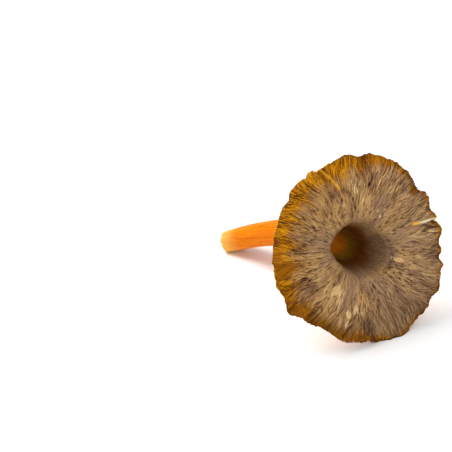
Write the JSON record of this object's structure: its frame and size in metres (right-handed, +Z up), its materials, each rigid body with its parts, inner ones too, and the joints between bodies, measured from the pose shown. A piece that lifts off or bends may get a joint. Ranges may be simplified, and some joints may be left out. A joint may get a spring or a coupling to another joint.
{
  "type": "funnel chanterelle mushroom",
  "caption": "Whole picked funnel chanterelle with a wavy brown cap, a deep central funnel, low forking ridges under the cap and a hollow bent golden stem, lying on its side.",
  "frame": {"origin": "centre of the base of the lying mushroom's bounding box, on the surface that it lies on", "axes": "+Z up, +Y from the cap towards the cut end of the stem, so the funnel opens towards -Y and upwards"},
  "size_m": [0.0492, 0.063, 0.0466],
  "materials": {
    "mushroom_flesh": "matte"
  },
  "bodies": {
    "root": {"mushroom": "mushroom_flesh"}
  },
  "joints": []
}
